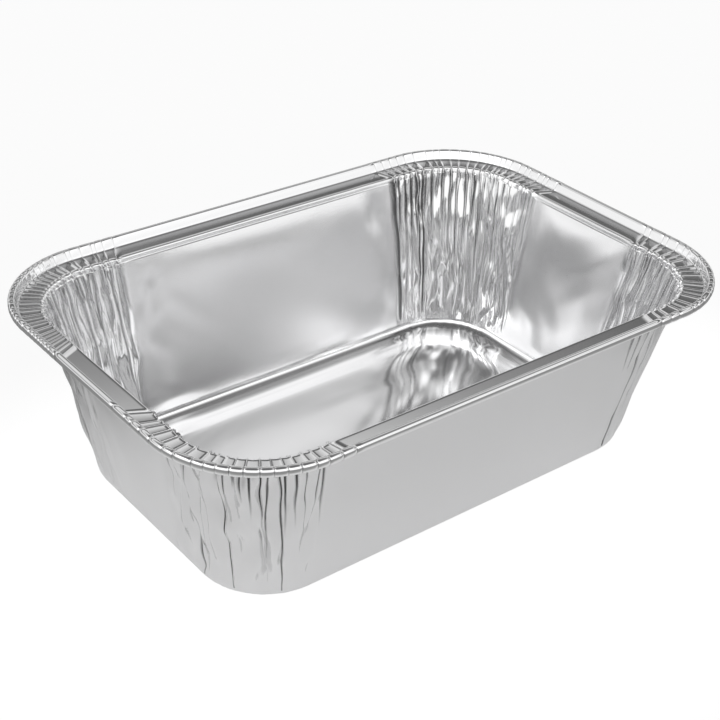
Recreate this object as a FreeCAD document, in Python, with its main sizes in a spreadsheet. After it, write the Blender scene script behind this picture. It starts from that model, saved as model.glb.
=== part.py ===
"""Aluminium foil tray: one sheet of foil pressed into an oblong pan, with gathered corners and a rolled rim."""
import FreeCAD, Part
import Sketcher
import math
import os

# Driving sizes in millimetres, counts and shares

DRIVING_SIZES = {
    "rim_length": 218.0,          # over the rolled rim, along X
    "rim_width": 150.6,           # over the rolled rim, along Y
    "tray_height": 66.4,          # from the table to the top of the rolled rim
    "foil": 0.11,                 # thickness of the sheet
    "wall_lean": 11.7,            # how far a wall leans in from the ledge to the floor
    "mouth_corner": 27.0,         # corner radius at the ledge's inner edge
    "floor_corner": 24.0,         # corner radius where the walls would meet the floor
    "heel_radius": 3.8,           # round between wall and floor
    "gutter_width": 4.6,          # flat of the floor that the tray stands on
    "panel_slope": 4.0,           # width of the step up from the gutter to the panel
    "panel_rise": 1.0,            # height of the panel above the gutter
    "panel_corner": 25.0,         # corner radius of the panel's step at the gutter
    "ledge_width": 8.3,           # flat ledge between the mouth and the rolled rim
    "ledge_bend": 0.9,            # size of the bend from the wall to the ledge
    "bead_height": 3.6,           # rolled rim above the ledge
    "bead_radius": 1.1,           # half the thickness of the rolled rim
    "bead_skirt": 0.5,            # straight outside of the rolled rim below its round
    "bead_tuck": 0.9,             # how far the sheet's edge turns up inside the rolled rim
    "folds_per_corner": 20,       # gathers pressed into each corner
    "gather_overrun": 6.0,        # how far the gathers run on past the corner's arc
    "fold_depth": 0.9,            # crest to valley of a gather at the top of the wall
    "fold_depth_foot": 0.3,       # crest to valley of a gather at the foot of the wall
    "ledge_rib": 0.5,             # crest to valley of the ribs across the ledge
    "bead_notch": 0.5,            # crest to valley of the notches along the rolled rim
    "fold_variety": 0.35,         # share by which one gather differs from the next
}

doc = FreeCAD.newDocument("foil_tray")
sheet = doc.addObject("Spreadsheet::Sheet", "sizes")
for row, (alias, value) in enumerate(DRIVING_SIZES.items(), start=1):
    sheet.set(f"A{row}", alias)
    sheet.set(f"B{row}", str(value))
    sheet.setAlias(f"B{row}", alias)
doc.recompute()


def size(alias):
    """Reads one driving size from the sheet."""
    return float(sheet.get(alias))


# Places that several features share

SEWING_TOLERANCE = 0.001
foil = size("foil")
bead_radius = size("bead_radius")
mouth_corner = size("mouth_corner")
ledge_height = size("tray_height") - size("bead_height")
rim_reach = size("ledge_width") + 2 * bead_radius
mouth_half_length = size("rim_length") / 2 - rim_reach
mouth_half_width = size("rim_width") / 2 - rim_reach
lean_angle = math.atan2(size("wall_lean"), ledge_height)


# The sheet's section, followed on its underside from the floor to the edge inside the rolled rim

class Station:
    """One closed line round the tray: a place on the sheet's section, and how gathered the sheet is there.

    reach is measured outwards from the ledge's inner edge and height up from the table. corner is
    the corner radius, fold the gathers' depth in plan and rib their height. Notched foil has its
    valleys pressed in from the plain line, and no crest stands out past it.
    """

    def __init__(self, reach, height, corner, fold=0.0, rib=0.0, notched=False):
        self.reach = reach
        self.height = height
        self.corner = corner
        self.fold = fold
        self.rib = rib
        self.notched = notched


def wall_reach(height):
    """Reach of the plain leaning wall at a height."""
    return -size("wall_lean") * (1 - height / ledge_height)


def wall_corner(height):
    """Corner radius of the leaning wall at a height."""
    share = height / ledge_height
    return size("floor_corner") * (1 - share) + mouth_corner * share


def fold_at(height):
    """Depth of the gathers at a height on the wall."""
    share = height / ledge_height
    return size("fold_depth_foot") * (1 - share) + size("fold_depth") * share


def heel_point(angle):
    """A point of the round between floor and wall; the angle is measured down from level."""
    radius = size("heel_radius")
    centre_reach = wall_reach(radius) - radius / math.cos(lean_angle)
    return centre_reach + radius * math.cos(angle), radius * (1 - math.sin(angle))


def heel_stations():
    """The round at the foot of the wall, from the edge of the flat floor up to the leaning wall."""
    stations = []
    for angle in (math.pi / 2, (lean_angle + math.pi / 2) / 2, lean_angle):
        reach, height = heel_point(angle)
        stations.append(Station(reach, height, wall_corner(height) + reach - wall_reach(height)))
    return stations


def wall_stations():
    """The gathered wall, from a third of its height to the bend under the ledge."""
    foot = heel_point(lean_angle)[1]
    top = ledge_height - size("ledge_bend")
    stations = []
    for height in (foot + (top - foot) / 3, top):
        stations.append(Station(wall_reach(height), height, wall_corner(height), fold_at(height)))
    return stations


def ledge_stations():
    """The flat ledge, with its ribs."""
    inner = size("ledge_bend")
    outer = size("ledge_width")
    return [
        Station(inner, ledge_height, mouth_corner + inner, size("ledge_rib"), size("ledge_rib")),
        Station(outer, ledge_height, mouth_corner + outer, size("bead_notch"), size("ledge_rib"), notched=True),
    ]


def bead_stations():
    """The rolled rim: up from the ledge, over the round, down its outside and tucked in below."""
    centre_reach = size("ledge_width") + bead_radius
    centre_height = size("tray_height") - foil - bead_radius
    places = []
    for degrees in (180, 130, 90, 50, 0):
        turn = math.radians(degrees)
        across = (bead_radius - foil) * math.cos(turn)
        up = bead_radius * math.sin(turn)
        places.append((centre_reach + across, centre_height + up))
    skirt_height = centre_height - size("bead_skirt")
    places.append((centre_reach + bead_radius - foil, skirt_height))
    places.append((centre_reach, skirt_height - size("bead_tuck")))
    stations = []
    for reach, height in places:
        stations.append(Station(reach, height, mouth_corner + reach, size("bead_notch"), notched=True))
    return stations


# The sheet's two sides

def side_step(before, here, after):
    """Step from one side of the sheet to the other at a corner of the section, for a unit of thickness."""
    first = (here[0] - before[0], here[1] - before[1])
    second = (after[0] - here[0], after[1] - here[1])
    first_normal = (-first[1] / math.hypot(*first), first[0] / math.hypot(*first))
    second_normal = (-second[1] / math.hypot(*second), second[0] / math.hypot(*second))
    scale = 1 + first_normal[0] * second_normal[0] + first_normal[1] * second_normal[1]
    return (first_normal[0] + second_normal[0]) / scale, (first_normal[1] + second_normal[1]) / scale


def upper_side(stations):
    """The same stations on the sheet's upper side, one thickness away."""
    places = [(station.reach, station.height) for station in stations]
    floor_place = (places[0][0] - 1, places[0][1])
    edge_place = (2 * places[-1][0] - places[-2][0], 2 * places[-1][1] - places[-2][1])
    padded = [floor_place] + places + [edge_place]
    moved = []
    for number, station in enumerate(stations):
        across, up = side_step(*padded[number:number + 3])
        moved.append(Station(station.reach + foil * across, station.height + foil * up,
                             station.corner + foil * across, station.fold, station.rib, station.notched))
    return moved


# The gathers across one corner. The outermost points fade out, and the depth varies along the
# corner by a sine that turns by so much from point to point, and that itself swings to and fro.

FADING_POINTS = 3
VARIETY_TURN = 2.4
VARIETY_SWING = 1.3
VARIETY_DRIFT = 1.7

def gather_shares():
    """How far each point across a corner stands out, from about -1 in a valley to about 1 on a crest."""
    last = 2 * int(size("folds_per_corner"))
    shares = []
    for number in range(last + 1):
        side = 1 if number % 2 else -1
        fade = min(number, last - number, FADING_POINTS) / FADING_POINTS
        swing = VARIETY_SWING * math.sin(VARIETY_DRIFT * number)
        uneven = 1 + size("fold_variety") * math.sin(VARIETY_TURN * number + swing)
        shares.append(side * fade * uneven)
    return shares


SHARES = gather_shares()


def corner_points(station, quarter):
    """Points of a station across one corner, in order round the tray.

    They are evenly spaced along the corner's arc and a little way along the straights beside it.
    """
    radius = station.corner
    side_x = 1 if quarter in (0, 3) else -1
    side_y = 1 if quarter in (0, 1) else -1
    centre = FreeCAD.Vector(side_x * (mouth_half_length + station.reach - radius),
                            side_y * (mouth_half_width + station.reach - radius), 0)
    overrun = size("gather_overrun")
    spread = math.pi / 2 * radius + 2 * overrun
    points = []
    for number, share in enumerate(SHARES):
        along = spread * number / (len(SHARES) - 1) - overrun
        turned = min(max(along / radius, 0), math.pi / 2)
        straight = along - turned * radius
        turn = math.pi / 2 * quarter + turned
        outward = FreeCAD.Vector(math.cos(turn), math.sin(turn), 0)
        onward = FreeCAD.Vector(-math.sin(turn), math.cos(turn), 0)
        stand_out = share * station.fold / 2
        if station.notched:
            stand_out = min(2 * stand_out, 0)
        lift = FreeCAD.Vector(0, 0, share * station.rib / 2)
        points.append(centre + outward * (radius + stand_out) + onward * straight + lift)
    return points


def station_points(station):
    """The closed line of one station, at its height."""
    points = []
    for quarter in range(4):
        for point in corner_points(station, quarter):
            points.append(point + FreeCAD.Vector(0, 0, station.height))
    return points


def band_facets(first_row, next_row, columns, returning):
    """Flat three-sided facets between two neighbouring lines.

    Each four-cornered cell is parted along the same diagonal on both sides of the sheet, so that
    the sides stay one thickness apart where a cell is twisted. returning is true for the upper
    side, whose lines are met in the opposite order.
    """
    facets = []
    for column in range(columns):
        following = (column + 1) % columns
        near, far = first_row + column, first_row + following
        above, beyond = next_row + column, next_row + following
        if returning:
            facets.append((near, far, above))
            facets.append((far, beyond, above))
        else:
            facets.append((near, far, beyond))
            facets.append((near, beyond, above))
    return facets


def gathered_wall():
    """Floor, walls, ledge and rolled rim, out along the underside and back on the upper side."""
    underside = heel_stations() + wall_stations() + ledge_stations() + bead_stations()
    lines = [station_points(station) for station in underside + upper_side(underside)[::-1]]
    columns = len(lines[0])
    points = [point for line in lines for point in line]
    facets = []
    for row in range(len(lines) - 1):
        facets += band_facets(row * columns, (row + 1) * columns, columns, row >= len(underside))
    skin = Part.Shape()
    skin.makeShapeFromMesh((points, facets), SEWING_TOLERANCE)
    floors = [Part.Face(Part.makePolygon(line + line[:1])) for line in (lines[0], lines[-1])]
    closed_skin = Part.makeShell(skin.Faces + floors)
    closed_skin.sewShape()
    wall = doc.addObject("Part::Feature", "gathered_wall")
    wall.Shape = Part.makeSolid(closed_skin)
    wall.Placement = FreeCAD.Placement()
    return wall


# The floor's raised panel

LEDGE_HEIGHT = "(sizes.tray_height - sizes.bead_height)"
RIM_REACH = "(sizes.ledge_width + 2 * sizes.bead_radius)"
GUTTER_REACH = (f"(sizes.wall_lean * (1 - sizes.heel_radius / {LEDGE_HEIGHT})"
                f" + sizes.heel_radius / cos(atan(sizes.wall_lean / {LEDGE_HEIGHT})) + sizes.gutter_width)")
PANEL_LENGTH = f"sizes.rim_length - 2 * {RIM_REACH} - 2 * {GUTTER_REACH}"
PANEL_WIDTH = f"sizes.rim_width - 2 * {RIM_REACH} - 2 * {GUTTER_REACH}"


def panel_sketch(body):
    """A rounded oblong about the tray's middle, as large as the gutter's inner edge."""
    sketch = body.newObject("Sketcher::SketchObject", body.Name + "_outline")
    plane = next(item for item in body.Origin.OriginFeatures if item.Role == "XY_Plane")
    sketch.AttachmentSupport = [(plane, "")]
    sketch.MapMode = "FlatFace"
    half_length, half_width, radius = 80.0, 46.0, 20.0
    corners = ((1, 1), (-1, 1), (-1, -1), (1, -1))
    for number, (x, y) in enumerate(corners):
        centre = FreeCAD.Vector(x * (half_length - radius), y * (half_width - radius), 0)
        start = math.pi / 2 * number
        circle = Part.Circle(centre, FreeCAD.Vector(0, 0, 1), radius)
        sketch.addGeometry(Part.ArcOfCircle(circle, start, start + math.pi / 2), False)
    for number in range(4):
        start = sketch.getPoint(number, 2)
        end = sketch.getPoint((number + 1) % 4, 1)
        sketch.addGeometry(Part.LineSegment(start, end), False)
    for number in range(4):
        sketch.addConstraint(Sketcher.Constraint("Tangent", number, 2, 4 + number, 1))
        sketch.addConstraint(Sketcher.Constraint("Tangent", 4 + number, 2, (number + 1) % 4, 1))
        sketch.addConstraint(Sketcher.Constraint("Horizontal" if number % 2 == 0 else "Vertical", 4 + number))
    for number in (1, 2, 3):
        sketch.addConstraint(Sketcher.Constraint("Equal", 0, number))
    sketch.addConstraint(Sketcher.Constraint("Symmetric", 0, 3, 2, 3, -1, 1))
    radius_row = sketch.addConstraint(Sketcher.Constraint("Radius", 0, radius))
    length_row = sketch.addConstraint(Sketcher.Constraint("DistanceX", 1, 2, 0, 1, 2 * half_length))
    width_row = sketch.addConstraint(Sketcher.Constraint("DistanceY", 2, 2, 0, 2, 2 * half_width))
    sketch.setExpression(f"Constraints[{radius_row}]", "sizes.panel_corner")
    sketch.setExpression(f"Constraints[{length_row}]", PANEL_LENGTH)
    sketch.setExpression(f"Constraints[{width_row}]", PANEL_WIDTH)
    return sketch


def panel_block(name, height):
    """A low block with sloping sides as high as the panel's step, standing at a height."""
    body = doc.addObject("PartDesign::Body", name)
    sketch = panel_sketch(body)
    sketch.setExpression("AttachmentOffset.Base.z", height)
    pad = body.newObject("PartDesign::Pad", name + "_pad")
    pad.Profile = sketch
    pad.setExpression("Length", "sizes.panel_rise")
    pad.setExpression("TaperAngle", "-atan(sizes.panel_slope / sizes.panel_rise)")
    body.Tip = pad
    return body


def joined(kind, name, base, tool):
    """Adds a boolean feature to the document, its facets kept as they are."""
    feature = doc.addObject(kind, name)
    feature.Base = base
    feature.Tool = tool
    feature.Refine = False
    return feature


pan = joined("Part::Fuse", "pan", gathered_wall(), panel_block("panel_top", "sizes.foil"))
tray = joined("Part::Cut", "tray", pan, panel_block("panel_hollow", "0"))
tray.Label = "tray"
tray.Placement = FreeCAD.Placement()
doc.recompute()

SUB_PARTS = [tray]

for item in doc.Objects:
    if "Invalid" in item.State or "Error" in item.State:
        raise SystemExit(f"{item.Label} failed: {item.State}")
for piece in SUB_PARTS:
    if piece.Shape.isNull() or not piece.Shape.isValid():
        raise SystemExit(f"{piece.Label} has no valid shape")

os.makedirs("parts", exist_ok=True)
for piece in SUB_PARTS:
    piece.Shape.exportStep(os.path.join("parts", f"{piece.Label}.step"))
    box = piece.Shape.BoundBox
    print(f"{piece.Label}: {box.XLength:.2f} x {box.YLength:.2f} x {box.ZLength:.2f} mm,",
          f"{piece.Shape.Volume:.0f} mm3, {len(piece.Shape.Solids)} solid, {len(piece.Shape.Faces)} faces")
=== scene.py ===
"""An oblong foil tray with gathered corners, plain leaning walls, a flat ledge and a rolled rim.

The sheet is built in three pieces that meet at its natural creases: the pressed floor up to the
crease above its heel, the gathered walls, and the rim from the bend under the ledge to the rolled
edge. All sizes are in millimetres until a point is placed in a mesh.
"""

import logging
import math
import random
from dataclasses import dataclass, field, replace
from enum import Enum

import bmesh
import bpy
from mathutils import Matrix, Vector, noise


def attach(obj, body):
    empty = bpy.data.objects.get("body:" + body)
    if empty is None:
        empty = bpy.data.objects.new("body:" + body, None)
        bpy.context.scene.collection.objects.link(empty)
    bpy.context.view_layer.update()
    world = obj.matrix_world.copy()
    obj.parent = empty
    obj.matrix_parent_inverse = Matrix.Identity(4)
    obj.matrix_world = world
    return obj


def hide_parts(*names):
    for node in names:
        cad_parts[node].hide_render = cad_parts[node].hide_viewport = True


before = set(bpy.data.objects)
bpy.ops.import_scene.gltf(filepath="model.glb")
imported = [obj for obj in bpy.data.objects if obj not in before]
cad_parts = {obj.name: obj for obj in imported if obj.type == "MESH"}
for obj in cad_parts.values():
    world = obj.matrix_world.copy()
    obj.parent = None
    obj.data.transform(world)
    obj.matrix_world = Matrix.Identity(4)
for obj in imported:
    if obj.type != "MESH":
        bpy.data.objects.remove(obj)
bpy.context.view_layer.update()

LOG = logging.getLogger("foil_tray")
METRES = 0.001
Socket = bpy.types.NodeSocket


class Quarter(Enum):
    """The four corners, in order round the tray, counted from the back right one."""

    BACK_RIGHT = 0
    BACK_LEFT = 1
    FRONT_LEFT = 2
    FRONT_RIGHT = 3

    @property
    def sides(self) -> tuple[int, int]:
        """The sides that the corner joins, as 1 or -1 along the tray and across it."""
        return 1 if self.value in (0, 3) else -1, 1 if self.value in (0, 1) else -1

    @property
    def following(self) -> "Quarter":
        """The next corner round the tray."""
        return Quarter((self.value + 1) % len(Quarter))


class Side(Enum):
    """The two sides of the foil."""

    BRIGHT = 0
    SATIN = 1


def blend(start: float, end: float, share: float) -> float:
    """Value a share of the way from start to end."""
    return start + (end - start) * share


def ease(value: float) -> float:
    """Smooth step of a value held between 0 and 1."""
    held = min(max(value, 0.0), 1.0)
    return held * held * (3 - 2 * held)


def ripple(*place: float) -> float:
    """Smooth noise at a place of three numbers, between about -1 and 1."""
    return noise.noise(Vector(place))


@dataclass(frozen=True)
class TraySizes:
    """The tray's own measures, in millimetres."""

    half_length: float = 98.5
    half_width: float = 64.8
    ledge_height: float = 62.8
    tray_height: float = 66.4
    wall_lean: float = 11.7
    mouth_corner: float = 27.0
    floor_corner: float = 24.0
    heel_radius: float = 3.8
    gutter_width: float = 4.6
    panel_rise: float = 1.0
    panel_corner: float = 25.0
    ledge_width: float = 8.3
    ledge_bend: float = 0.9
    bead_radius: float = 1.1
    foil: float = 0.11

    @property
    def lean_angle(self) -> float:
        """Angle by which the wall leans out, in radians."""
        return math.atan2(self.wall_lean, self.ledge_height)

    def wall_reach(self, height: float) -> float:
        """Reach of the wall's inner side at a height."""
        return -self.wall_lean * (1 - height / self.ledge_height) - self.foil

    def wall_corner(self, height: float) -> float:
        """Corner radius of the wall at a height."""
        return blend(self.floor_corner, self.mouth_corner, height / self.ledge_height)


@dataclass
class Row:
    """One closed line round the tray, at a place on the sheet's section.

    Reach is measured outwards from the ledge's inner edge. The section's normal points to the
    upper side of the sheet. Share is the height on the wall, from 0 at its foot to 1 at the ledge.
    """

    reach: float
    height: float
    corner: float
    share: float = 1.0
    fold: float = 0.0
    rib: float = 0.0
    notch: float = 0.0
    step: float = 0.0
    normal_out: float = 0.0
    normal_up: float = 1.0

    @property
    def degree(self) -> float:
        """Length of one degree of the corner's arc."""
        return self.corner * math.pi / 180

    def folded(self, gain: float) -> float:
        """How far the row is folded, from 0 to 1, and the sooner 1 the greater the gain."""
        return min(self.fold * gain, 1.0)

    def normal(self, outward: Vector) -> Vector:
        """Direction of the upper side, from the level outward direction at a point."""
        return outward * self.normal_out + Vector((0, 0, self.normal_up))


def give_normals(rows: list[Row]) -> None:
    """Gives each row the normal of the section at its place.

    Args:
        rows: The rows in order from the floor's middle outwards.
    """
    for number, row in enumerate(rows):
        before = rows[max(number - 1, 0)]
        after = rows[min(number + 1, len(rows) - 1)]
        across, up = after.reach - before.reach, after.height - before.height
        length = math.hypot(across, up)
        row.normal_out, row.normal_up = -up / length, across / length


@dataclass
class Section:
    """The sheet's section from the middle of the floor to the edge inside the rolled rim.

    Each row of the bead's shape holds its distance in from the outer edge, its drop from the top,
    and its shares of the ledge's ribs and of the rim's notches.
    """

    sizes: TraySizes
    panel_rows: int = 16
    step_rows: int = 9
    gutter_rows: int = 5
    heel_rows: int = 9
    wall_rows: int = 46
    ledge_rows: int = 8
    step_drop: float = 2.0
    ledge_rise: float = 0.1
    bead_foot: float = 7.0
    bead_shape: tuple[tuple[float, float, float, float], ...] = (
        (3.22, 3.27, 0.9, 0.0), (3.06, 2.98, 0.8, 0.1), (2.90, 2.50, 0.7, 0.2), (2.74, 2.00, 0.6, 0.3),
        (2.58, 1.52, 0.5, 0.4), (2.43, 1.10, 0.4, 0.5), (2.30, 0.75, 0.3, 0.6), (2.16, 0.42, 0.2, 0.7),
        (1.98, 0.17, 0.1, 0.8), (1.74, 0.03, 0.0, 0.9), (1.30, 0.0, 0.0, 1.0), (0.80, 0.04, 0.0, 1.0),
        (0.50, 0.17, 0.0, 1.0), (0.28, 0.38, 0.0, 1.0), (0.12, 0.65, 0.0, 1.0), (0.03, 0.95, 0.0, 1.0),
        (0.0, 1.30, 0.0, 1.0), (0.0, 1.75, 0.0, 1.0), (0.05, 2.15, 0.0, 0.9), (0.20, 2.50, 0.0, 0.8),
        (0.45, 2.72, 0.0, 0.7), (0.78, 2.80, 0.0, 0.6), (1.05, 2.72, 0.0, 0.5))
    slope_width: float = 7.0
    panel_dish: float = -0.55
    dish_width: float = 15.0
    gutter_hollow: float = 0.2
    rim_fold: float = 0.7
    fold_top: float = 1.0
    fold_foot: float = 0.36
    fold_start: float = 0.05
    middle_gap: float = 0.001
    panel_spread: float = 0.9
    slope_ease: float = 0.6
    heel_ease: float = 0.6
    step_drops: tuple[float, ...] = (1.8, 1.5, 1.1)
    bend_degrees: tuple[int, ...] = (15, 35, 55, 75, 90)

    def floor(self) -> list[Row]:
        """Rows of the floor: raised panel, its sloping edge, gutter and the heel up to its crease.

        Returns:
            The rows, from the tray's middle outwards.
        """
        size = self.sizes
        heel_bend = (size.heel_radius - size.foil) / math.cos(size.lean_angle)
        heel_centre = size.wall_reach(size.heel_radius) - heel_bend
        panel_edge = heel_centre - size.gutter_width - self.slope_width
        top = size.foil + size.panel_rise
        rows = []
        for number in range(self.panel_rows):
            share = number / self.panel_rows
            reach = blend(-size.half_width + self.middle_gap, panel_edge, share ** self.panel_spread)
            inner_corner = (size.panel_corner - self.slope_width) * (reach + size.half_width)
            inner_corner /= panel_edge + size.half_width
            rows.append(Row(reach, top + self.dish(panel_edge - reach), inner_corner, 0.0))
        for number in range(self.step_rows):
            share = number / (self.step_rows - 1)
            reach = panel_edge + self.slope_width * share
            corner = size.panel_corner - self.slope_width * (1 - share)
            fall = blend(share, ease(share), self.slope_ease)
            rows.append(Row(reach, blend(top, size.foil + self.gutter_hollow, fall), corner, 0.0))
        heel_corner = size.wall_corner(size.heel_radius) - size.heel_radius
        for number in range(1, self.gutter_rows):
            share = number / self.gutter_rows
            reach = panel_edge + self.slope_width + size.gutter_width * share
            height = size.foil + self.gutter_hollow * (2 * share - 1) ** 2
            rows.append(Row(reach, height, blend(size.panel_corner, heel_corner, share), 0.0, rib=share))
        for number in range(self.heel_rows):
            share = number / (self.heel_rows - 1)
            angle = blend(-math.pi / 2, -size.lean_angle, share)
            radius = size.heel_radius - size.foil
            reach = heel_centre + radius * math.cos(angle)
            height = size.heel_radius + radius * math.sin(angle)
            height += self.gutter_hollow * (1 - ease(share / self.heel_ease))
            rows.append(Row(reach, height, heel_corner + reach - heel_centre, 0.0, rib=1 - share))
        return rows

    def dish(self, inwards: float) -> float:
        """Rise of the panel over its edge, a distance inwards from it; negative where it sinks."""
        return self.panel_dish * ease(inwards / self.dish_width)

    def wall(self, foot: Row) -> list[Row]:
        """Rows of the leaning wall, from the heel's crease to the small step under the ledge.

        Args:
            foot: The last row of the floor.

        Returns:
            The rows, from the crease upwards.
        """
        size = self.sizes
        top = size.ledge_height - self.step_drop
        rows = []
        for number in range(self.wall_rows):
            place = number / (self.wall_rows - 1)
            height = blend(foot.height, top, place)
            share = height / size.ledge_height
            corner = blend(foot.corner, size.wall_corner(top), place)
            reach = blend(foot.reach, size.wall_reach(top), place)
            depth = blend(self.fold_foot, self.fold_top, place) * ease(place / self.fold_start)
            rows.append(Row(reach, height, corner, share, fold=depth))
        return rows

    def rim(self) -> list[Row]:
        """Rows of the rim: the step, the bend, the ledge, the bead and its tucked edge.

        Returns:
            The rows above the wall's last one, outwards and over the bead.
        """
        size = self.sizes
        rows = []
        for drop in self.step_drops:
            height = size.ledge_height - drop
            rows.append(Row(size.wall_reach(height), height, size.wall_corner(height), 1.0,
                            fold=self.rim_fold, step=1.0))
        level = size.ledge_height + size.foil
        bend = size.ledge_bend
        for degrees in self.bend_degrees:
            turn = math.radians(degrees)
            reach = size.wall_reach(level - bend) + bend * (1 - math.cos(turn))
            height = level - bend * (1 - math.sin(turn))
            share = degrees / 90
            rows.append(Row(reach, height, size.mouth_corner + reach, 1.0, fold=self.rim_fold * (1 - share),
                            rib=share, step=1.0 - share))
        start = rows[-1].reach
        for number in range(1, self.ledge_rows + 1):
            reach = blend(start, self.bead_foot, number / self.ledge_rows)
            height = level + self.ledge_rise * number / self.ledge_rows
            rows.append(Row(reach, height, size.mouth_corner + reach, 1.0, rib=1.0))
        for across, up, rib, notch in self.bead_shape:
            reach = size.ledge_width + 2 * size.bead_radius - across
            height = size.tray_height - up
            rows.append(Row(reach, height, size.mouth_corner + reach, 1.0, rib=rib, notch=notch))
        return rows


@dataclass(frozen=True)
class Gather:
    """One fold of a gathered corner.

    Places are degrees across the corner's arc, running on past 0 and 90 along the straights.
    End is the share of the wall's height at which the fold has died out. Width is half its
    breadth in millimetres. Tilt turns the foil beside it, and lean moves its crest aside.
    """

    top: float
    foot: float
    end: float
    depth: float = 1.0
    sway: float = 0.0
    width: float = 0.62
    tilt: float = 0.0
    lean: float = 0.0
    fade: float = 0.7
    least_fade: float = 0.12

    def centre(self, share: float) -> float:
        """Place of the fold at a share of the wall's height."""
        return blend(self.foot, self.top, share) + self.sway * math.sin(math.pi * (1 - share))

    def strength(self, share: float) -> float:
        """How strong the fold still is at a share of the wall's height."""
        if self.end <= 0:
            return self.depth
        return self.depth * ease((share - self.end) / max(self.fade * (1 - self.end), self.least_fade))


@dataclass(frozen=True)
class Dent:
    """A soft push in the wall of a corner; the push is inwards when positive."""

    place: float
    share: float
    wide: float
    high: float
    push: float

    def strength(self, place: float, share: float) -> float:
        """How much of the push is felt at a place, from 0 to 1."""
        across = (place - self.place) / self.wide
        up = (share - self.share) / self.high
        return math.exp(-across * across - up * up)


@dataclass(frozen=True)
class WallDent:
    """A soft push in a plain wall, inwards when positive.

    Side counts the straights after each corner; along is measured from the straight's start, or
    from its end when negative. Slant is how much the dent climbs along the wall.
    """

    side: int
    along: float
    share: float
    wide: float
    high: float
    push: float
    slant: float

    def strength(self, along: float, length: float, share: float) -> float:
        """How much of the push is felt at a place of a wall of a length, from 0 to 1."""
        centre = self.along if self.along > 0 else length + self.along
        across = (along - centre) / self.wide
        up = (share - self.share - self.slant * (along - centre)) / self.high
        return math.exp(-across * across - up * up)


@dataclass(frozen=True)
class Variety:
    """Ranges of the random draws that make the folds of a corner differ."""

    ends: tuple[float, float] = (0.55, 0.9)
    drifts: tuple[float, float] = (-3.0, 3.0)
    depths: tuple[float, float] = (0.6, 1.05)
    sways: tuple[float, float] = (-1.0, 1.0)
    spacings: tuple[float, float] = (0.75, 1.3)
    tilts: tuple[float, float] = (-0.5, 0.5)
    leans: tuple[float, float] = (0.1, 0.5)
    widths: tuple[float, float] = (0.8, 1.2)


@dataclass
class GatheredCorner:
    """One corner of the wall: its folds, the foil between them and its dents.

    Short folds fill the degrees from start to end, a spacing apart. Crumple, breadth and sharp are
    the height, the size and the keenness of the small creases. Narrow scales the folds' widths,
    waver is how far they wander, and shadow how dark the slits beside them are.
    """

    quarter: Quarter
    long_folds: list[Gather]
    dents: list[Dent]
    start: float
    end: float
    spacing: float
    crumple: float
    breadth: float
    narrow: float
    waver: float
    sharp: float
    shadow: float
    seed: int
    variety: Variety = Variety()
    crowding: float = 0.55
    least_gap: float = 1.7
    least_gap_share: float = 0.8
    waver_spread: float = 3.7
    waver_turns: float = 6.0
    waver_fade: float = 0.15
    folds: list[Gather] = field(default_factory=list)

    def __post_init__(self) -> None:
        """Fills the places between the long folds with short ones."""
        draw = random.Random(self.seed)
        vary = self.variety
        folds = list(self.long_folds)
        place = self.start
        while place < self.end:
            if all(abs(place - fold.top) > self.crowding * self.spacing for fold in self.long_folds):
                end = draw.uniform(*vary.ends)
                foot = place + draw.uniform(*vary.drifts)
                depth = draw.uniform(*vary.depths)
                folds.append(Gather(place, foot, end, depth, draw.uniform(*vary.sways)))
            place += self.spacing * draw.uniform(*vary.spacings)
        folds.sort(key=lambda fold: fold.top)
        self.folds = []
        for fold in folds:
            tilt = draw.uniform(*vary.tilts)
            lean = draw.choice((-1, 1)) * draw.uniform(*vary.leans)
            width = fold.width * self.narrow * draw.uniform(*vary.widths)
            self.folds.append(replace(fold, width=width, tilt=tilt, lean=lean))

    def centres(self, row: Row) -> list[float]:
        """Places of all folds at a row in degrees, kept in order and apart."""
        gap = self.least_gap
        places = []
        for number, fold in enumerate(self.folds):
            waver = ripple(number * self.waver_spread, row.share * self.waver_turns, self.seed)
            waver *= self.waver * ease((1 - row.share) / self.waver_fade)
            places.append(fold.centre(row.share) + waver)
        for number in range(1, len(places)):
            if places[number] < places[number - 1] + gap:
                middle = (places[number] + places[number - 1]) / 2
                places[number - 1] = middle - gap / 2
                places[number] = middle + gap / 2
        for number in range(1, len(places)):
            places[number] = max(places[number], places[number - 1] + gap * self.least_gap_share)
        return places


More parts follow.
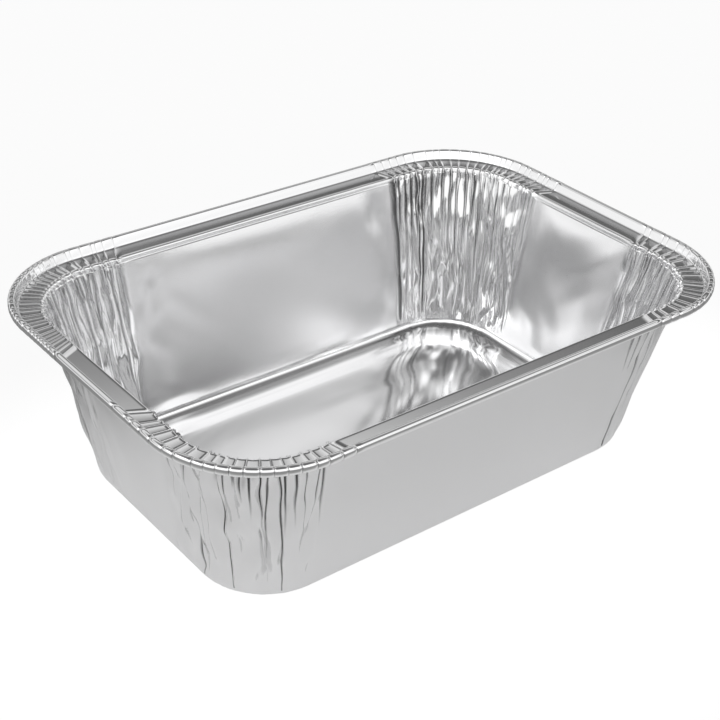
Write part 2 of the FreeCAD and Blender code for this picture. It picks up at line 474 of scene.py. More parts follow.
@dataclass(frozen=True)
class Crumple:
    """The small creases of gathered foil, longer up the wall than across it.

    The pairs are the lengths of a pattern across the corner and up the wall, in millimetres, but
    the slant's pair holds its turns in a millimetre.
    """

    arc: float = 0.45
    edge: float = 6.0
    foot: float = 0.12
    top: float = 0.06
    slant: float = 1.6
    slant_turns: tuple[float, float] = (0.12, 0.05)
    ridge: tuple[float, float] = (2.6, 13.0)
    fine: tuple[float, float] = (1.5, 6.0)
    swell: tuple[float, float] = (3.6, 10.0)
    ridge_height: float = 0.6
    ridge_keenness: float = 3.0
    fine_height: float = 0.2
    swell_height: float = 1.1
    gain: float = 2.0

    def push(self, corner: GatheredCorner, place: float, row: Row, wall_height: float) -> float:
        """Height of the creases over the plain foil.

        Args:
            corner: The gathered corner.
            place: Degrees across the corner.
            row: The row of the sheet.
            wall_height: The wall's whole height, in millimetres.

        Returns:
            The push towards the upper side, in millimetres.
        """
        share = row.share
        held = ease((place - corner.folds[0].centre(share)) / self.edge)
        held *= ease((corner.folds[-1].centre(share) - place) / self.edge)
        held *= ease(share / self.foot) * ease((1 - share) / self.top)
        across = place * self.arc / corner.breadth
        up = share * wall_height / corner.breadth
        slant = self.slant * ripple(across * self.slant_turns[0], up * self.slant_turns[1], corner.seed)
        ridge = ripple(across / self.ridge[0] + slant, up / self.ridge[1], corner.seed + 2.0)
        fine = ripple(across / self.fine[0], up / self.fine[1], corner.seed + 5.0)
        swell = ripple(across / self.swell[0] + slant, up / self.swell[1], corner.seed + 7.0)
        height = (1 - self.ridge_keenness * abs(ridge)) * self.ridge_height * corner.sharp
        height += self.fine_height * fine + self.swell_height * swell
        return held * corner.crumple * height * row.folded(self.gain)


@dataclass(frozen=True)
class WallBends:
    """The slow bends of a plain wall: a shallow bow, creases that fan out of the gathers, dents."""

    bow: float = 1.6
    bow_fullness: float = 0.7
    flare: float = 3.3
    edge: float = 6.0
    fan: float = 0.8
    fan_reach: float = 16.0
    fan_slope: float = 0.9
    fan_height: float = 62.0
    fan_turns: tuple[float, float] = (0.11, 0.03)
    slow: float = 0.15
    slow_turns: tuple[float, float] = (0.022, 1.3)
    dent_depth: float = 1.3
    dents: tuple[WallDent, ...] = (
        WallDent(0, -9.0, 0.72, 5.0, 0.10, -0.9, -0.025), WallDent(0, -8.0, 0.44, 5.0, 0.08, -0.8, 0.02),
        WallDent(0, -13.0, 0.14, 7.0, 0.10, 0.8, 0.0), WallDent(0, 9.0, 0.78, 6.0, 0.12, -0.8, 0.02),
        WallDent(0, 7.0, 0.35, 6.0, 0.12, 0.6, -0.01), WallDent(3, -13.0, 0.20, 6.0, 0.13, 1.0, 0.02),
        WallDent(3, -22.0, 0.45, 7.0, 0.16, -0.8, 0.02), WallDent(3, 12.0, 0.55, 6.0, 0.20, 0.7, 0.0),
        WallDent(2, 6.0, 0.62, 3.5, 0.30, 0.9, 0.0), WallDent(2, 13.0, 0.42, 5.0, 0.30, -0.8, 0.01),
        WallDent(2, -10.0, 0.50, 6.0, 0.30, 0.8, 0.0), WallDent(1, 8.0, 0.65, 4.0, 0.40, -0.7, 0.0),
        WallDent(1, -12.0, 0.50, 8.0, 0.25, 0.5, 0.0))

    def held(self, along: float, length: float) -> float:
        """How free the wall is to bend, from 0 beside a corner to 1 away from it."""
        return ease(along / self.edge) * ease((length - along) / self.edge)

    def push(self, side: int, along: float, length: float, share: float) -> float:
        """How deep a place of a wall is bent.

        Args:
            side: The straight's number.
            along: Distance along the straight.
            length: The straight's length.
            share: Share of the wall's height.

        Returns:
            The push towards the inside, in millimetres.
        """
        middle = math.sin(math.pi * along / length) ** self.bow_fullness
        middle *= math.sin(math.pi * min(share, 1.0) ** self.flare)
        near = min(along, length - along)
        slope = share * self.fan_height + self.fan_slope * near
        end = 1 if along < near + 1e-6 else 3
        wave = ripple(slope * self.fan_turns[0], near * self.fan_turns[1], side * 7.0 + end)
        slow = ripple(along * self.slow_turns[0], share * self.slow_turns[1], side * 5.0)
        for dent in self.dents:
            if dent.side == side:
                middle += self.dent_depth * dent.push / self.bow * dent.strength(along, length, share)
        return self.bow * middle + self.fan * math.exp(-near / self.fan_reach) * wave + self.slow * slow


@dataclass(frozen=True)
class Spot:
    """A place on a row across a corner, and the push towards the upper side there."""

    place: float
    push: float
    gather: float = 0.0
    # The share of painted shadow that falls beside the fold here.
    painted_shade: float = 0.0


@dataclass(frozen=True)
class SheetPoint:
    """A point of the sheet: its place in millimetres and what the foil is like there.

    Gather is 1 along a fold's crest, and plain is 1 on the smooth walls between the corners. The painted
    shade is how dark the bright side is painted where a fold's sides meet the foil beside it and in the
    rim's notches.
    """

    place: Vector
    gather: float = 0.0
    painted_shade: float = 0.0
    plain: float = 0.0


@dataclass
class GatheredSheet:
    """The walls and rim as a net of lines that follow the folds of the four corners.

    Fold steps are a fold's lines across its half width, and fold crest is its height at each.
    """

    sizes: TraySizes
    corners: list[GatheredCorner]
    crumple: Crumple = Crumple()
    bends: WallBends = WallBends()
    fold_steps: tuple[float, ...] = (-1.0, -0.45, 0.0, 0.45, 1.0)
    fold_crest: tuple[float, ...] = (0.0, 0.42, 1.0, 0.42, 0.0)
    straight_step: float = 2.6
    fold_depth: float = 1.1
    rib_height: float = 0.15
    notch_depth: float = 0.32
    widest_fold: float = 4.0
    fold_room: float = 0.42
    rim_narrowing: float = 0.5
    rim_lean: float = 0.4
    facet: float = 1.1
    least_strength: float = 0.35
    pillow: float = 0.45
    pillow_columns: int = 4
    pillow_span: float = 2.2
    pillow_most: float = 1.6
    pillow_variety: float = 0.5
    pillow_turns: tuple[float, float] = (2.3, 5.0)
    rib_pillow: float = 0.04
    notch_pillow: float = 0.10
    notch_shadow: float = 0.7
    step_depth: float = 0.16
    dent_gain: float = 2.0
    finish_gain: float = 1.5

    def corner_spots(self, corner: GatheredCorner, row: Row) -> list[Spot]:
        """All spots of one corner at a row.

        Args:
            corner: The gathered corner.
            row: The row of the sheet.

        Returns:
            The spots, in order across the corner.
        """
        places = corner.centres(row)
        widths = self.fold_widths(corner, places, row)
        spots = []
        for number, place in enumerate(places):
            spots.extend(self.fold_spots(corner, number, place, widths[number], row))
            if number < len(places) - 1:
                following = places[number + 1] - widths[number + 1]
                spots.extend(self.pillow_spots(corner, number, place + widths[number], following, row))
        return spots

    def fold_widths(self, corner: GatheredCorner, places: list[float], row: Row) -> list[float]:
        """Half widths of a corner's folds in degrees, kept clear of their neighbours."""
        narrowed = 1 - self.rim_narrowing * max(row.rib, row.notch)
        widths = []
        for number, fold in enumerate(corner.folds):
            room = self.widest_fold * row.degree
            if number > 0:
                room = min(room, (places[number] - places[number - 1]) * row.degree * self.fold_room)
            if number < len(places) - 1:
                room = min(room, (places[number + 1] - places[number]) * row.degree * self.fold_room)
            widths.append(min(fold.width * narrowed, room) / row.degree)
        return widths

    def fold_spots(self, corner: GatheredCorner, number: int, place: float, width: float,
                   row: Row) -> list[Spot]:
        """Spots across one fold.

        Args:
            corner: The gathered corner.
            number: The fold's number in the corner.
            place: The fold's place, in degrees.
            width: The fold's half width, in degrees.
            row: The row of the sheet.

        Returns:
            The spots in order.
        """
        fold = corner.folds[number]
        strength = fold.strength(row.share)
        height = row.fold * self.fold_depth + row.rib * self.rib_height - row.notch * self.notch_depth
        left = -self.level(corner, number - 1, row)
        right = self.level(corner, number, row)
        spots = []
        for step, crest in zip(self.fold_steps, self.fold_crest):
            shift = fold.lean * (1 - abs(step)) * (row.fold + self.rim_lean * row.rib)
            push = blend(left, right, (step + 1) / 2) + crest * strength * height
            # Painted shadow on one side of the fold, where it meets the foil beside it.
            painted_shade = strength if step > 0 else 0.0
            spots.append(Spot(place + (step + shift) * width, push, strength * crest, painted_shade))
        return spots

    def pillow_spots(self, corner: GatheredCorner, number: int, first: float, last: float,
                     row: Row) -> list[Spot]:
        """Spots across the foil after a fold, from its first degree to its last."""
        level = self.level(corner, number, row)
        span = min((last - first) * row.degree / self.pillow_span, self.pillow_most)
        bulge = self.bulge(corner, number, row) * span
        spots = []
        for step in range(1, self.pillow_columns + 1):
            share = step / (self.pillow_columns + 1)
            push = blend(level, -level, share) - bulge * 4 * share * (1 - share)
            spots.append(Spot(blend(first, last, share), push))
        return spots

    def level(self, corner: GatheredCorner, number: int, row: Row) -> float:
        """Push of the foil at the left edge of a panel; its right edge has the opposite one."""
        if number < 0 or number >= len(corner.folds) - 1:
            return 0.0
        fold = corner.folds[number]
        return fold.tilt * self.facet * row.fold * blend(self.least_strength, 1.0, row.share)

    def bulge(self, corner: GatheredCorner, number: int, row: Row) -> float:
        """How far the foil between two folds stands out, at a row."""
        fold, following = corner.folds[number], corner.folds[number + 1]
        strength = max(fold.strength(row.share), following.strength(row.share))
        turns, rises = self.pillow_turns
        uneven = 1 + self.pillow_variety * ripple(number * turns, row.share * rises, corner.seed + 9.0)
        depth = row.fold + self.rib_pillow * row.rib - self.notch_pillow * row.notch
        return self.pillow * uneven * (self.least_strength + (1 - self.least_strength) * strength) * depth

    def place(self, corner: GatheredCorner, spot: Spot, row: Row) -> Vector:
        """Point of a spot in space.

        Args:
            corner: The gathered corner.
            spot: The spot across the corner.
            row: The row of the sheet.

        Returns:
            The point, in millimetres.
        """
        point, outward = self.outline(corner.quarter, spot.place, row)
        push = spot.push
        for dent in corner.dents:
            push += dent.push * dent.strength(spot.place, row.share) * row.folded(self.dent_gain)
        push += self.crumple.push(corner, spot.place, row, self.sizes.ledge_height)
        return point + row.normal(outward) * push

    def outline(self, quarter: Quarter, place: float, row: Row) -> tuple[Vector, Vector]:
        """Plain point of a row and the outward direction there.

        Args:
            quarter: The corner.
            place: Degrees across the corner, running on along the straights.
            row: The row of the sheet.

        Returns:
            The point in millimetres and a level unit vector.
        """
        size = self.sizes
        turned = math.radians(min(max(place, 0.0), 90.0))
        beyond = math.radians(place) - turned
        turn = quarter.value * math.pi / 2 + turned
        side_x, side_y = quarter.sides
        outward = Vector((math.cos(turn), math.sin(turn), 0))
        onward = Vector((-math.sin(turn), math.cos(turn), 0))
        centre = Vector((side_x * (size.half_length + row.reach - row.corner),
                         side_y * (size.half_width + row.reach - row.corner), row.height))
        return centre + outward * row.corner + onward * beyond * row.corner, outward

    def straight_counts(self) -> list[int]:
        """Number of inner columns on each straight, in order after each corner."""
        row = Row(0.0, 0.0, self.sizes.mouth_corner)
        counts = []
        for number, corner in enumerate(self.corners):
            following = self.corners[(number + 1) % 4]
            start = self.outline(corner.quarter, corner.folds[-1].top, row)[0]
            end = self.outline(following.quarter, following.folds[0].top, row)[0]
            counts.append(round((end - start).length / self.straight_step))
        return counts

    def line(self, row: Row, counts: list[int]) -> list[SheetPoint]:
        """All points of a row, round the tray.

        Args:
            row: The row of the sheet.
            counts: Number of inner columns on each straight.

        Returns:
            The points in order.
        """
        edges = [self.corner_spots(corner, row) for corner in self.corners]
        folded = row.folded(self.finish_gain)
        points = []
        for number, corner in enumerate(self.corners):
            for spot in edges[number]:
                # Painted shadow beside the folds, and in the rim's notches.
                painted_shade = max(corner.shadow * spot.painted_shade * folded, self.notch_shadow * spot.gather * row.notch)
                points.append(SheetPoint(self.place(corner, spot, row), spot.gather, painted_shade))
            following = self.corners[(number + 1) % 4]
            start, outward = self.outline(corner.quarter, edges[number][-1].place, row)
            end = self.outline(following.quarter, edges[(number + 1) % 4][0].place, row)[0]
            length = (end - start).length
            for step in range(1, counts[number]):
                share = step / counts[number]
                shift = row.normal(outward) * self.buckle(number, share * length, length, row)
                points.append(SheetPoint(start.lerp(end, share) + shift, plain=folded))
        return points

    def buckle(self, side: int, along: float, length: float, row: Row) -> float:
        """Push of a plain wall towards the inside, with the small step under its ledge.

        Args:
            side: The straight's number.
            along: Distance along the straight.
            length: The straight's length.
            row: The row of the sheet.

        Returns:
            The push in millimetres.
        """
        bends = row.fold * self.bends.push(side, along, length, row.share)
        return self.bends.held(along, length) * (bends - row.step * self.step_depth)


@dataclass
class FloorNet:
    """The floor's own net: evenly spaced lines, the same on all four sides."""

    sizes: TraySizes
    corner_columns: int = 54
    long_columns: int = 44
    short_columns: int = 24
    pucker_height: float = 0.28
    pucker_edge: float = 0.15
    pucker_turns: float = 7.0
    pucker_keenness: float = 3.0
    wave_height: float = 0.25
    wave_turns: tuple[float, float] = (0.018, 0.022)
    wave_edge: float = -19.0
    wave_fade: float = 20.0

    def lines(self, rows: list[Row]) -> list[list[SheetPoint]]:
        """Points of each row of the floor, in order."""
        return [self.line(row) for row in rows]

    def line(self, row: Row) -> list[SheetPoint]:
        """Points of one row, in order round the tray."""
        corner = min(row.corner, self.sizes.half_width + row.reach)
        points = []
        for quarter in Quarter:
            centre = self.centre(quarter, corner, row)
            for step in range(self.corner_columns + 1):
                turn = math.pi / 2 * (quarter.value + step / self.corner_columns)
                outward = Vector((math.cos(turn), math.sin(turn), 0))
                place = self.relief(centre + outward * corner, row) + self.pucker(turn, row)
                points.append(SheetPoint(place))
            columns = self.long_columns if quarter.value % 2 == 0 else self.short_columns
            turn = math.pi / 2 * (quarter.value + 1)
            outward = Vector((math.cos(turn), math.sin(turn), 0))
            start = Vector((centre.x + math.cos(turn) * corner, centre.y + math.sin(turn) * corner,
                            row.height))
            end = self.centre(quarter.following, corner, row) + outward * corner
            for step in range(1, columns):
                points.append(SheetPoint(self.relief(start.lerp(end, step / columns), row)))
        return points

    def centre(self, quarter: Quarter, corner: float, row: Row) -> Vector:
        """Centre of a corner's arc at a row, from the arc's radius."""
        side_x, side_y = quarter.sides
        return Vector((side_x * (self.sizes.half_length + row.reach - corner),
                       side_y * (self.sizes.half_width + row.reach - corner), row.height))

    def pucker(self, turn: float, row: Row) -> Vector:
        """Lift of the small folds that run out through the gutter's corners."""
        place = (turn % (math.pi / 2)) / (math.pi / 2)
        ends = ease(place / self.pucker_edge) * ease((1 - place) / self.pucker_edge)
        wave = 1 - self.pucker_keenness * abs(ripple(turn * self.pucker_turns, 5.0, 1.0))
        return Vector((0, 0, self.pucker_height * ends * row.rib * max(wave, 0.0)))

    def relief(self, point: Vector, row: Row) -> Vector:
        """Lifts a point of the panel by its slow waves."""
        if row.height < self.sizes.foil + 0.5 * self.sizes.panel_rise:
            return point
        slow = ripple(point.x * self.wave_turns[0], point.y * self.wave_turns[1], 3.0)
        lift = self.wave_height * slow * ease((self.wave_edge - row.reach) / self.wave_fade)
        return point + Vector((0, 0, lift))


@dataclass
class FoilNet:
    """A closed ring of foil made from lines of points, with the sheet's real thickness."""

    name: str
    thickness: float
    merge_distance: float = 0.000002

    def build(self, lines: list[list[SheetPoint]]) -> bpy.types.Object:
        """Makes the mesh object of a ring.

        Args:
            lines: The points of each row, in order.

        Returns:
            The object, linked to the scene.
        """
        columns = len(lines[0])
        rows = len(lines)
        mesh = bmesh.new()
        # The painted shadow beside the folds is kept in the mesh for the bright side's colour.
        layers = {name: mesh.verts.layers.float.new(name) for name in ("gather", "painted_shade", "plain")}
        bmesh.ops.create_grid(mesh, x_segments=columns, y_segments=rows - 1, size=0.5)
        for vertex in mesh.verts:
            column = round((vertex.co.x + 0.5) * columns)
            number = round((vertex.co.y + 0.5) * (rows - 1))
            point = lines[number][column % columns]
            vertex.co = point.place * METRES
            for name, layer in layers.items():
                vertex[layer] = getattr(point, name)
        bmesh.ops.remove_doubles(mesh, verts=mesh.verts, dist=self.merge_distance)
        bmesh.ops.reverse_faces(mesh, faces=mesh.faces)
        for face in mesh.faces:
            face.smooth = True
        for edge in mesh.edges:
            edge.smooth = not edge.is_boundary
        data = bpy.data.meshes.new(self.name)
        mesh.to_mesh(data)
        mesh.free()
        piece = bpy.data.objects.new(self.name, data)
        bpy.context.scene.collection.objects.link(piece)
        gauge = piece.modifiers.new("gauge", "SOLIDIFY")
        gauge.thickness = self.thickness * METRES
        gauge.offset = -1.0
        gauge.use_even_offset = False
        gauge.material_offset = 1
        gauge.material_offset_rim = 1
        return piece


class NodeNet:
    """The nodes of a material or of the world, with short ways to add and join them."""

    def __init__(self, tree: bpy.types.NodeTree) -> None:
        """Takes up the tree that the nodes go into."""
        self.nodes = tree.nodes
        self.links = tree.links

    def add(self, kind: str, values: dict[int | str, object] | None = None,
            **settings: object) -> bpy.types.Node:
        """Adds a node.

        Args:
            kind: The node's type.
            values: Constants by the name or number of their socket.
            **settings: The node's own settings, which are made before its sockets are read.

        Returns:
            The node.
        """
        node = self.nodes.new(kind)
        for name, value in settings.items():
            setattr(node, name, value)
        for socket, value in (values or {}).items():
            node.inputs[socket].default_value = value
        return node

    def join(self, output: Socket, node: bpy.types.Node, socket: int | str) -> None:
        """Joins an output to a node's input."""
        self.links.new(output, node.inputs[socket])

    def attribute(self, name: str) -> Socket:
        """Adds one of the mesh's attributes."""
        return self.add("ShaderNodeAttribute", attribute_name=name).outputs["Fac"]

    def cloud(self, places: Socket, scale: float, detail: float) -> Socket:
        """Adds a noise over places."""
        texture = self.add("ShaderNodeTexNoise", {"Scale": scale, "Detail": detail})
        self.join(places, texture, "Vector")
        return texture.outputs["Fac"]

    def fade(self, value: Socket, source: tuple[float, float], target: tuple[float, float]) -> Socket:
        """Adds a smooth change from one range of values to another."""
        ranges = {"From Min": source[0], "From Max": source[1], "To Min": target[0], "To Max": target[1]}
        change = self.add("ShaderNodeMapRange", ranges, interpolation_type="SMOOTHSTEP")
        self.join(value, change, "Value")
        return change.outputs["Result"]

    def raised(self, value: Socket, share: float, base: Socket) -> Socket:
        """Adds a share of a value to a base."""
        total = self.add("ShaderNodeMath", {1: share}, operation="MULTIPLY_ADD")
        self.join(value, total, 0)
        self.join(base, total, 2)
        return total.outputs["Value"]

    def ramp(self, height: Socket, shades: tuple[tuple[float, float], ...]) -> Socket:
        """Adds a ramp of greys over a height, from places and greys in rising order."""
        ramp = self.add("ShaderNodeValToRGB")
        stops = ramp.color_ramp.elements
        for number, (place, shade) in enumerate(shades):
            stop = stops[number] if number < 2 else stops.new(1.0)
            stop.position = place
            stop.color = (shade, shade, shade, 1)
        self.join(height, ramp, "Fac")
        return ramp.outputs["Color"]


@dataclass(frozen=True)
class FoilFinish:
    """Rolled aluminium foil, on its bright or its satin side."""

    side: Side
    shade: float
    # The mesh attribute, the grey and the sharpness of the painted shade in the creases.
    painted_shade_mask: str
    painted_crease_shade: float
    painted_shade_sharpness: float
    roughness: float
    plain_roughness: float
    grain: float
    coolness: float = 1.005
    crest_roughness: float = 0.08
    wear: tuple[float, float] = (0.85, 1.2)
    wear_scale: float = 55.0
    wear_detail: float = 2.0
    grain_stretch: tuple[float, float, float] = (1.0, 7.0, 7.0)
    grain_scale: float = 420.0
    grain_detail: float = 3.0
    grain_height: float = 0.00003

    def material(self) -> bpy.types.Material:
        """Makes the material with its nodes."""
        material = bpy.data.materials.new(f"foil_{self.side.name.lower()}")
        material.use_nodes = True
        net = NodeNet(material.node_tree)
        shader = net.nodes["Principled BSDF"]
        shader.inputs["Metallic"].default_value = 1.0
        places = net.add("ShaderNodeTexCoord").outputs["Object"]
        net.join(self.colour(net), shader, "Base Color")
        net.join(self.dullness(net, places), shader, "Roughness")
        net.join(self.rolling(net, places), shader, "Normal")
        return material

    def colour(self, net: NodeNet) -> Socket:
        """The foil's colour, darkened along its creases with painted shade."""
        deep = net.add("ShaderNodeMath", {1: self.painted_shade_sharpness}, operation="POWER", use_clamp=True)
        net.join(net.attribute(self.painted_shade_mask), deep, 0)
        open_foil = (self.shade, self.shade, self.shade * self.coolness, 1)
        # Painted shade: the grey that the creases are darkened towards.
        painted_crease_colour = (self.painted_crease_shade, self.painted_crease_shade, self.painted_crease_shade, 1)
        mix = net.add("ShaderNodeMix", {"A": open_foil, "B": painted_crease_colour}, data_type="RGBA")
        net.join(deep.outputs["Value"], mix, "Factor")
        return mix.outputs["Result"]

    def dullness(self, net: NodeNet, places: Socket) -> Socket:
        """The foil's roughness: cloudy with wear, more on the folds and on the plain walls."""
        least, most = (self.roughness * share for share in self.wear)
        worn = net.add("ShaderNodeMapRange", {"To Min": least, "To Max": most})
        net.join(net.cloud(places, self.wear_scale, self.wear_detail), worn, "Value")
        folded = net.raised(net.attribute("gather"), self.crest_roughness, worn.outputs["Result"])
        return net.raised(net.attribute("plain"), self.plain_roughness, folded)

    def rolling(self, net: NodeNet, places: Socket) -> Socket:
        """The fine lines that the mill's rollers leave along the foil."""
        stretched = net.add("ShaderNodeMapping", {"Scale": self.grain_stretch})
        net.join(places, stretched, "Vector")
        bump = net.add("ShaderNodeBump", {"Strength": self.grain, "Distance": self.grain_height})
        lines = net.cloud(stretched.outputs["Vector"], self.grain_scale, self.grain_detail)
        net.join(lines, bump, "Height")
        return bump.outputs["Normal"]


class Tray:
    """The whole foil tray."""

    def __init__(self, sizes: TraySizes) -> None:
        """Sets out the tray's section, its corners and its finishes.

        Args:
            sizes: The tray's measures.
        """
        self.sizes = sizes
        self.section = Section(sizes)
        self.sheet = GatheredSheet(sizes, corner_plan())
        # Both sides carry painted shade: the bright side beside the folds and in the rim's notches, the
        # satin side along the folds, which are slits from outside.
        self.bright = FoilFinish(Side.BRIGHT, shade=0.91, painted_shade_mask="painted_shade", painted_crease_shade=0.16,
                                 painted_shade_sharpness=1.0, roughness=0.09, plain_roughness=0.17,
                                 grain=0.05).material()
        self.satin = FoilFinish(Side.SATIN, shade=0.79, painted_shade_mask="gather", painted_crease_shade=0.03,
                                painted_shade_sharpness=0.6, roughness=0.17, plain_roughness=0.06,
                                grain=0.08).material()

    def build(self) -> list[bpy.types.Object]:
        """Builds and dresses the floor, the walls and the rim.

        Returns:
            The three pieces.
        """
        floor_rows = self.section.floor()
        wall_rows = self.section.wall(floor_rows[-1])
        rim_rows = self.section.rim()
        give_normals(floor_rows + wall_rows[1:])
        give_normals(wall_rows + rim_rows)
        counts = self.sheet.straight_counts()
        wall_lines = [self.sheet.line(row, counts) for row in wall_rows]
        rim_lines = [wall_lines[-1]] + [self.sheet.line(row, counts) for row in rim_rows]
        pieces = [
            FoilNet("floor", self.sizes.foil).build(FloorNet(self.sizes).lines(floor_rows)),
            FoilNet("walls", self.sizes.foil).build(wall_lines),
            FoilNet("rim", self.sizes.foil).build(rim_lines),
        ]
        for piece in pieces:
            self.dress(piece)
        return pieces

    def dress(self, piece: bpy.types.Object) -> None:
        """Gives a piece of foil its finishes, and its place in the frame."""
        piece.data.materials.append(self.bright)
        piece.data.materials.append(self.satin)
        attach(piece, "root")
        LOG.info("%s: %d faces", piece.name, len(piece.data.polygons))


def corner_plan() -> list[GatheredCorner]:
    """The folds of the four corners, each by its top, foot, end, depth and sway.

    Returns:
        The corners, in order round the tray.
    """
    back_right = [
        Gather(110, 92, 0.0, 1.1), Gather(104, 95, 0.5), Gather(98, 89, 0.42), Gather(92, 83, 0.38),
        Gather(86, 75, 0.42), Gather(79, 72, 0.0, 1.2, -1.0), Gather(70, 66, 0.55), Gather(61, 58, 0.6),
        Gather(54, 50, 0.55), Gather(48, 40, 0.06, 1.0, 1.5), Gather(41, 36, 0.45), Gather(35, 32, 0.5),
        Gather(29, 26, 0.25, 1.0, -1.5), Gather(20, 16, 0.0, 1.1, -3.0), Gather(12, 9, 0.3),
        Gather(5, 6, 0.12), Gather(-4, 1, 0.4), Gather(-12, -3, 0.45), Gather(-20, -8, 0.5),
        Gather(-28, -16, 0.6),
    ]
    back_left = [
        Gather(-25, -12, 0.3, 1.0, -2.0), Gather(-18, -8, 0.0, 1.1, 2.0), Gather(-11, -2, 0.45),
        Gather(-4, 5, 0.25, 1.0, 3.0), Gather(5, 9, 0.5), Gather(13, 16, 0.1, 1.1, -2.5),
        Gather(21, 22, 0.45), Gather(29, 30, 0.2, 1.0, 2.0), Gather(38, 38, 0.5),
        Gather(47, 45, 0.0, 1.1, -1.5), Gather(56, 52, 0.5), Gather(65, 60, 0.3), Gather(75, 68, 0.5),
        Gather(86, 76, 0.1, 1.1, 1.0), Gather(98, 84, 0.5), Gather(108, 92, 0.3), Gather(118, 101, 0.5),
    ]
    front_left = [
        Gather(-7, 11, 0.0, 0.95, 2.5), Gather(26, 34, 0.0, 1.0, 1.0), Gather(43, 44, 0.72),
        Gather(49, 47, 0.58), Gather(56, 57, 0.45, 1.0, -1.5), Gather(62, 58, 0.12, 0.8, -2.5),
        Gather(68, 70, 0.0, 0.8, -1.0), Gather(74, 66, 0.45), Gather(81, 72, 0.5), Gather(87, 79, 0.4),
        Gather(94, 88, 0.55), Gather(101, 92, 0.45), Gather(-19, -16, 0.5, 0.5),
    ]
    front_right = [
        Gather(-18, -8, 0.6), Gather(-11, -4, 0.6), Gather(-5, 4, 0.0, 1.3, 0.5),
        Gather(6, 12, 0.5), Gather(16, 20, 0.35), Gather(26, 28, 0.3), Gather(36, 37, 0.1),
        Gather(46, 46, 0.25), Gather(56, 54, 0.1), Gather(66, 62, 0.3), Gather(76, 70, 0.15),
        Gather(86, 78, 0.3), Gather(97, 86, 0.1), Gather(107, 94, 0.35),
    ]
    return [
        GatheredCorner(Quarter.BACK_RIGHT, back_right, [Dent(58, 0.4, 5, 0.06, 0.9)], start=-28, end=111,
                       spacing=5.5, crumple=0.75, breadth=1.7, narrow=0.62, waver=1.6, sharp=1.0, shadow=1.0,
                       seed=11),
        GatheredCorner(Quarter.BACK_LEFT, back_left, [Dent(60, 0.5, 9, 0.12, 0.7)], start=-24, end=124,
                       spacing=4.2, crumple=0.60, breadth=1.4, narrow=0.62, waver=3.2, sharp=1.0, shadow=0.4,
                       seed=23),
        GatheredCorner(Quarter.FRONT_LEFT, front_left, [], start=-30, end=105,
                       spacing=7.0, crumple=2.4, breadth=1.5, narrow=0.6, waver=1.6, sharp=0.3, shadow=1.0,
                       seed=37),
        GatheredCorner(Quarter.FRONT_RIGHT, front_right, [], start=-20, end=112,
                       spacing=6.0, crumple=0.7, breadth=1.7, narrow=0.7, waver=1.2, sharp=0.7, shadow=0.7,
                       seed=41),
    ]


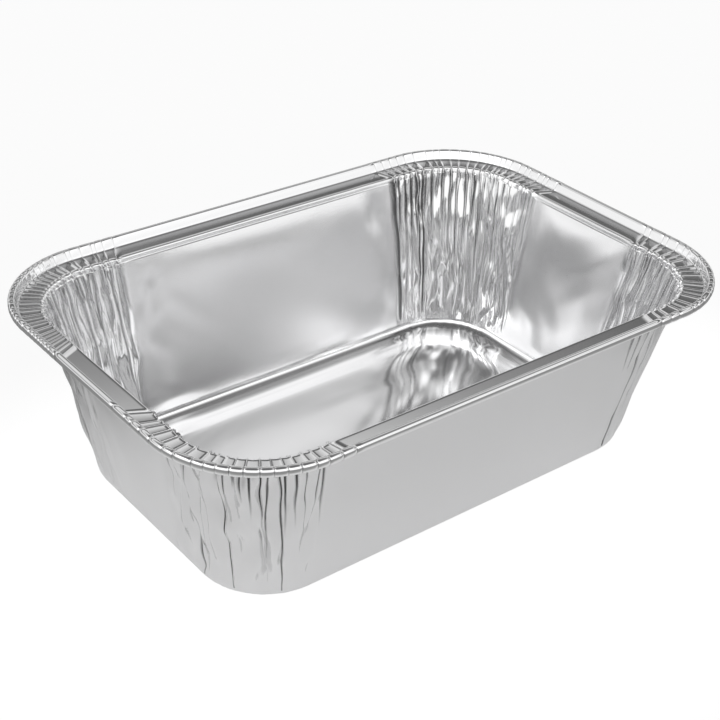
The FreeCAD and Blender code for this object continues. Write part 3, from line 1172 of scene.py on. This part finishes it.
@dataclass
class Studio:
    """The floor, the lights and the camera.

    The dark and the light side of the room are ramps of grey over the height of a direction. The
    floor's painted glow and its colour, darkened into painted shade far away, fade with the distance
    from a point, measured with a stretch.
    """

    floor_size: float = 12.0
    floor_shade: float = 0.82
    floor_roughness: float = 0.9
    # Painted light and shade on the floor: a glow near the tray and a darker colour far from it.
    near_glow: float = 0.14
    far_painted_shade: float = 0.40
    fade_range: tuple[float, float] = (0.09, 0.16)
    fade_stretch: tuple[float, float, float] = (0.72, 1.0, 0.0)
    fade_offset: tuple[float, float, float] = (0.005, 0.03, 0.0)
    sweep_white: float = 0.90
    sweep_shadow: float = 0.25
    lens: float = 72.95
    sensor: float = 36.0
    nearest: float = 0.01
    yaw: float = 50.85
    pitch: float = 31.34
    roll: float = 2.38
    distance: float = 520.2
    right: float = -1.5
    above: float = 29.3
    softbox_place: tuple[float, float, float] = (-0.95, 0.15, 0.80)
    softbox_sides: tuple[float, float] = (0.7, 0.4)
    softbox_power: float = 0.5
    room_light: float = 1.07
    dark_bearing: float = 50.0
    dark_range: tuple[float, float] = (-0.60, 0.55)
    dark_side: tuple[tuple[float, float], ...] = (
        (0.0, 0.9), (0.20, 0.75), (0.33, 0.10), (0.46, 0.12), (0.52, 0.28), (0.57, 0.72), (0.66, 0.72),
        (0.74, 0.24), (1.0, 0.12))
    light_side: tuple[tuple[float, float], ...] = (
        (0.0, 0.9), (0.20, 1.05), (0.45, 1.25), (0.71, 1.25), (0.80, 0.72), (0.89, 0.22), (1.0, 0.12))

    def build(self) -> None:
        """Builds everything that stands round the tray."""
        self.build_floor()
        self.build_world()
        self.build_softbox()
        self.build_camera()
        bpy.context.scene.view_settings.view_transform = "Standard"

    def build_floor(self) -> None:
        """Lays the pale floor."""
        mesh = bmesh.new()
        bmesh.ops.create_grid(mesh, x_segments=1, y_segments=1, size=self.floor_size / 2)
        data = bpy.data.meshes.new("studio_floor")
        mesh.to_mesh(data)
        mesh.free()
        floor = bpy.data.objects.new("studio_floor", data)
        bpy.context.scene.collection.objects.link(floor)
        data.materials.append(self.floor_material())

    def floor_material(self) -> bpy.types.Material:
        """Makes the floor's material: pale, with a painted glow near the tray, painted shade far from it,
        and a soft shadow on white.
        """
        material = bpy.data.materials.new("studio_floor")
        material.use_nodes = True
        net = NodeNet(material.node_tree)
        shader = net.nodes["Principled BSDF"]
        shader.inputs["Roughness"].default_value = self.floor_roughness
        shader.inputs["Emission Color"].default_value = (1, 1, 1, 1)
        stretched = net.add("ShaderNodeVectorMath", {1: self.fade_stretch, 2: self.fade_offset},
                            operation="MULTIPLY_ADD")
        net.join(net.add("ShaderNodeTexCoord").outputs["Object"], stretched, 0)
        away = net.add("ShaderNodeVectorMath", operation="LENGTH")
        net.join(stretched.outputs["Vector"], away, 0)
        # Painted light and shade: the floor glows near the tray and darkens far from it.
        glow = net.fade(away.outputs["Value"], self.fade_range, (self.near_glow, 0.0))
        net.join(glow, shader, "Emission Strength")
        shade = net.fade(away.outputs["Value"], self.fade_range, (self.floor_shade, self.far_painted_shade))
        net.join(shade, shader, "Base Color")
        white = net.add("ShaderNodeEmission", {"Strength": self.sweep_white / (1 - self.sweep_shadow)})
        keep = net.add("ShaderNodeMath", {1: 1 - self.sweep_shadow}, operation="MULTIPLY")
        net.join(net.add("ShaderNodeLightPath").outputs["Is Camera Ray"], keep, 0)
        sweep = net.add("ShaderNodeMixShader")
        net.join(keep.outputs["Value"], sweep, "Fac")
        net.join(shader.outputs["BSDF"], sweep, 1)
        net.join(white.outputs["Emission"], sweep, 2)
        net.join(sweep.outputs["Shader"], net.nodes["Material Output"], "Surface")
        return material

    def build_world(self) -> None:
        """Gives the room its light: a banded dark side behind the tray and a bright one before it."""
        world = bpy.data.worlds.new("studio")
        bpy.context.scene.world = world
        world.use_nodes = True
        net = NodeNet(world.node_tree)
        places = net.add("ShaderNodeTexCoord").outputs["Generated"]
        split = net.add("ShaderNodeSeparateXYZ")
        net.join(places, split, "Vector")
        bearing = math.radians(self.dark_bearing)
        turned = net.add("ShaderNodeVectorMath", {1: (math.cos(bearing), math.sin(bearing), 0.0)},
                         operation="DOT_PRODUCT")
        net.join(places, turned, 0)
        room = net.add("ShaderNodeMix", data_type="RGBA")
        net.join(net.fade(turned.outputs["Value"], self.dark_range, (0.0, 1.0)), room, "Factor")
        net.join(net.ramp(split.outputs["Z"], self.light_side), room, "A")
        net.join(net.ramp(split.outputs["Z"], self.dark_side), room, "B")
        background = net.nodes["Background"]
        background.inputs["Strength"].default_value = self.room_light
        net.join(room.outputs["Result"], background, "Color")

    def build_softbox(self) -> None:
        """Hangs a soft rectangular light that faces the tray."""
        data = bpy.data.lights.new("softbox", "AREA")
        data.shape = "RECTANGLE"
        data.size, data.size_y = self.softbox_sides
        data.energy = self.softbox_power
        light = bpy.data.objects.new("softbox", data)
        turn = (-Vector(self.softbox_place)).to_track_quat("-Z", "Y").to_matrix().to_4x4()
        light.matrix_world = Matrix.Translation(self.softbox_place) @ turn
        bpy.context.scene.collection.objects.link(light)

    def build_camera(self) -> None:
        """Sets the camera at the photograph's viewing angle."""
        yaw, pitch, roll = (math.radians(angle) for angle in (self.yaw, self.pitch, self.roll))
        flat = math.cos(pitch)
        forward = Vector((math.cos(yaw) * flat, math.sin(yaw) * flat, -math.sin(pitch)))
        level = Vector((math.sin(yaw), -math.cos(yaw), 0))
        upright = level.cross(forward)
        right = level * math.cos(roll) + upright * math.sin(roll)
        up = upright * math.cos(roll) - level * math.sin(roll)
        place = (right * self.right + up * self.above - forward * self.distance) * METRES
        data = bpy.data.cameras.new("camera")
        data.lens = self.lens
        data.sensor_width = self.sensor
        data.clip_start = self.nearest
        camera = bpy.data.objects.new("camera", data)
        turn = Matrix((right, up, -forward)).transposed().to_4x4()
        camera.matrix_world = Matrix.Translation(place) @ turn
        bpy.context.scene.collection.objects.link(camera)
        bpy.context.scene.camera = camera


def main() -> None:
    """Builds the tray and its studio."""
    logging.basicConfig(level=logging.INFO, format="%(name)s %(message)s")
    Studio().build()
    pieces = Tray(TraySizes()).build()
    for piece in pieces:
        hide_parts("tray")


if __name__ == "__main__":
    main()
